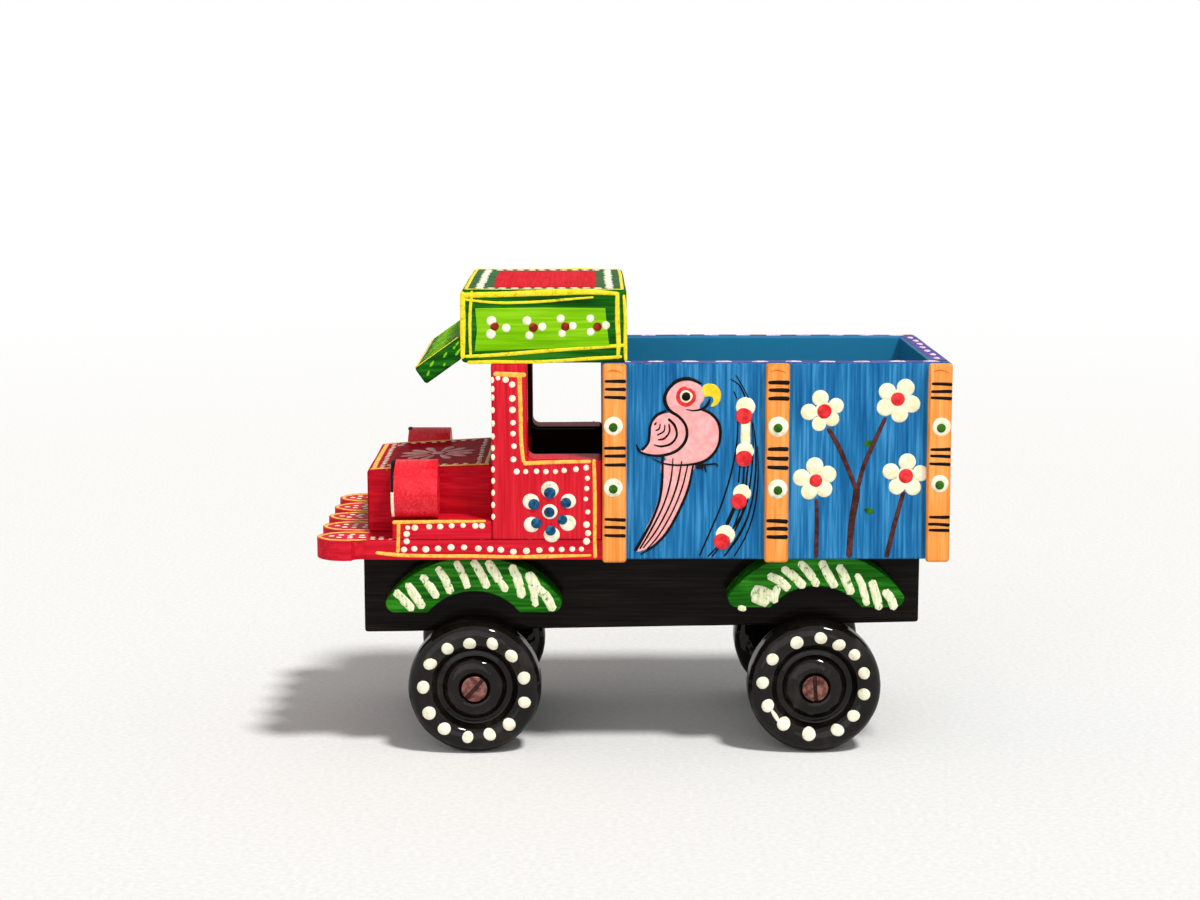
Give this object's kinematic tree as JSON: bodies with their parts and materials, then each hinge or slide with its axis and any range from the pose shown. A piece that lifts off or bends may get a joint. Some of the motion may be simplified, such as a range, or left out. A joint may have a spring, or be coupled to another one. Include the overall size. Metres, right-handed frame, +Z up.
{
  "type": "wooden toy truck",
  "caption": "Painted wooden toy truck with an open bed, a scalloped nose board, arched mudguards and turned wheels that roll freely on screws.",
  "frame": {"origin": "centre of the truck's plan at the level where the wheels stand", "axes": "the nose points along -Y, the truck's left side is +X and up is +Z"},
  "size_m": [0.075, 0.1604, 0.1194],
  "materials": {
    "black_paint": "black enamel on wood, semi-gloss, brushed",
    "red_paint": "crimson enamel on wood, gloss, with yellow lines and white dots",
    "roof_green_paint": "green enamel on wood, gloss, with yellow lines and white dots",
    "mudguard_green_paint": "green enamel on wood with cream brush stripes",
    "blue_paint": "blue enamel on wood, brushed upright, with painted flowers and a bird",
    "teal_paint": "blue-green enamel on wood, matt",
    "orange_paint": "orange enamel on wood with black lines and white dots",
    "screw_steel": "slotted steel screw, red-brown"
  },
  "bodies": {
    "truck": {"chassis": "black_paint", "front_axle_block": "black_paint", "rear_axle_block": "black_paint", "base_board": "red_paint", "hood": "red_paint", "roof": "roof_green_paint", "sun_visor": "roof_green_paint", "bed_floor": "teal_paint", "bed_front": "blue_paint", "tailboard": "blue_paint", "left_wing": "red_paint", "left_headlamp": "red_paint", "left_cab_side": "red_paint", "left_bed_side": "blue_paint", "right_wing": "red_paint", "right_headlamp": "red_paint", "right_cab_side": "red_paint", "right_bed_side": "blue_paint", "left_front_post": "orange_paint", "left_middle_post": "orange_paint", "left_rear_post": "orange_paint", "right_front_post": "orange_paint", "right_middle_post": "orange_paint", "right_rear_post": "orange_paint", "front_left_mudguard": "mudguard_green_paint", "front_left_wheel_screw": "screw_steel", "front_right_mudguard": "mudguard_green_paint", "front_right_wheel_screw": "screw_steel", "rear_left_mudguard": "mudguard_green_paint", "rear_left_wheel_screw": "screw_steel", "rear_right_mudguard": "mudguard_green_paint", "rear_right_wheel_screw": "screw_steel"},
    "front_left_wheel": {"front_left_wheel": "black_paint"},
    "front_right_wheel": {"front_right_wheel": "black_paint"},
    "rear_left_wheel": {"rear_left_wheel": "black_paint"},
    "rear_right_wheel": {"rear_right_wheel": "black_paint"}
  },
  "joints": [
    {"name": "front_left_wheel_spin", "type": "hinge", "parent": "truck", "child": "front_left_wheel", "pos_m": [0.0295, -0.0402, 0.0171], "axis": [1, 0, 0], "continuous": true},
    {"name": "front_right_wheel_spin", "type": "hinge", "parent": "truck", "child": "front_right_wheel", "pos_m": [-0.0295, -0.0402, 0.0171], "axis": [1, 0, 0], "continuous": true},
    {"name": "rear_left_wheel_spin", "type": "hinge", "parent": "truck", "child": "rear_left_wheel", "pos_m": [0.0295, 0.047, 0.0171], "axis": [1, 0, 0], "continuous": true},
    {"name": "rear_right_wheel_spin", "type": "hinge", "parent": "truck", "child": "rear_right_wheel", "pos_m": [-0.0295, 0.047, 0.0171], "axis": [1, 0, 0], "continuous": true}
  ]
}
